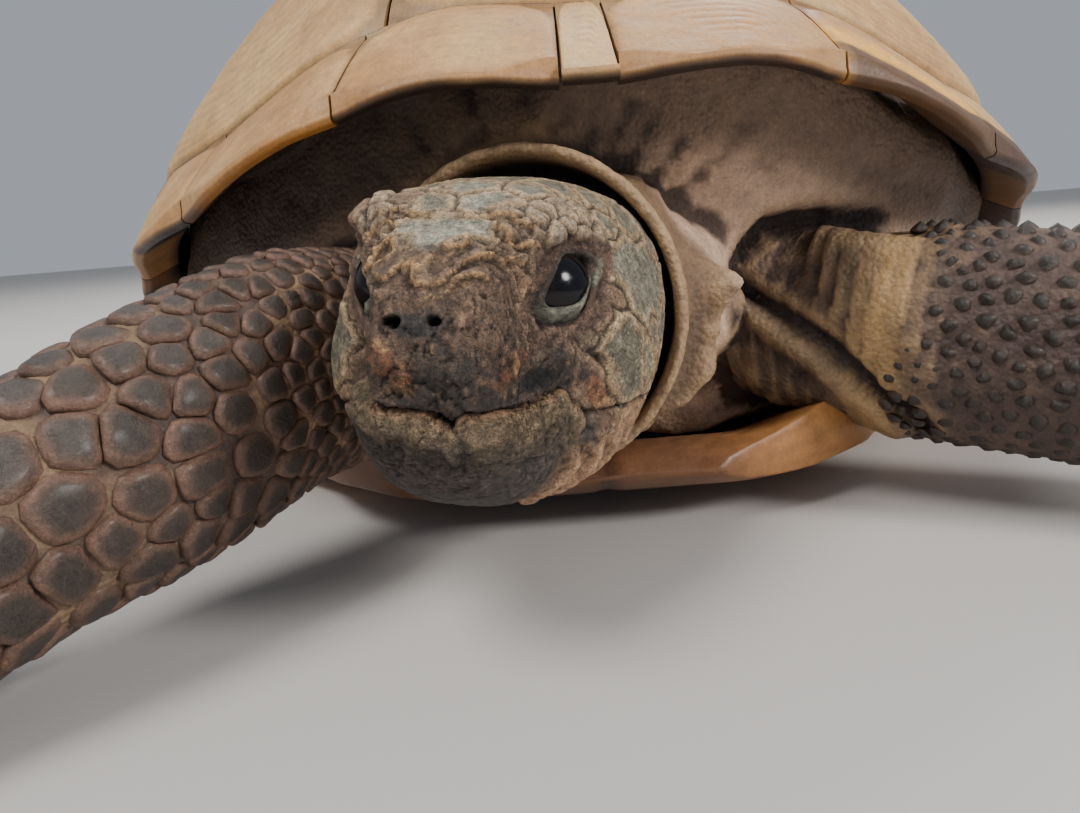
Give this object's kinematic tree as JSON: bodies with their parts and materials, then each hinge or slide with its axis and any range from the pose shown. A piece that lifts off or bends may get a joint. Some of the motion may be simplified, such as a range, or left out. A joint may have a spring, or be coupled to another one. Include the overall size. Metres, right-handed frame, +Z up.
{
  "type": "tortoise",
  "caption": "Life-size spur-thighed tortoise lying on its plastron, forelegs spread to the front and sides, head drawn half into its collar; a still display animal.",
  "frame": {"origin": "middle of the flat under the plastron, on the surface that the animal rests on", "axes": "+Z up, -Y towards the animal's front, +X towards the animal's left"},
  "size_m": [0.1977, 0.2653, 0.1107],
  "materials": {
    "scute": "horny scutes, tan and ochre, with low growth rings",
    "marginal": "horny scutes, ochre with dark brown patches along the edge",
    "plastron": "horny plates, tan with black patches",
    "skin": "dry folded skin with scales",
    "head": "head plates, grey with pale borders over brown skin",
    "horn": "dark worn horn",
    "claw": "dark horn",
    "eye": "wet, nearly black"
  },
  "bodies": {
    "root": {"claw_foreleg_left_1": "claw", "claw_foreleg_left_2": "claw", "claw_foreleg_left_3": "claw", "claw_foreleg_left_4": "claw", "claw_foreleg_left_5": "claw", "claw_foreleg_right_1": "claw", "claw_foreleg_right_2": "claw", "claw_foreleg_right_3": "claw", "claw_foreleg_right_4": "claw", "claw_foreleg_right_5": "claw", "claw_hindleg_left_1": "claw", "claw_hindleg_left_2": "claw", "claw_hindleg_left_3": "claw", "claw_hindleg_left_4": "claw", "claw_hindleg_right_1": "claw", "claw_hindleg_right_2": "claw", "claw_hindleg_right_3": "claw", "claw_hindleg_right_4": "claw", "costal_left_1": "scute", "costal_left_2": "scute", "costal_left_3": "scute", "costal_left_4": "scute", "costal_right_1": "scute", "costal_right_2": "scute", "costal_right_3": "scute", "costal_right_4": "scute", "eye_left": "eye", "eye_right": "eye", "foreleg_left": "skin", "foreleg_right": "skin", "head": "head", "hindleg_left": "skin", "hindleg_right": "skin", "lower_beak": "horn", "lower_jaw": "skin", "marginals_left_bridge": "marginal", "marginals_left_front": "marginal", "marginals_left_rear": "marginal", "marginals_right_bridge": "marginal", "marginals_right_front": "marginal", "marginals_right_rear": "marginal", "neck": "skin", "nuchal": "marginal", "plastron_abdominal": "plastron", "plastron_anal": "plastron", "plastron_femoral": "plastron", "plastron_gular": "plastron", "plastron_humeral": "plastron", "plastron_pectoral": "plastron", "supracaudal": "marginal", "tail": "skin", "trunk": "skin", "upper_beak": "horn", "vertebral_1": "scute", "vertebral_2": "scute", "vertebral_3": "scute", "vertebral_4": "scute", "vertebral_5": "scute"}
  },
  "joints": []
}
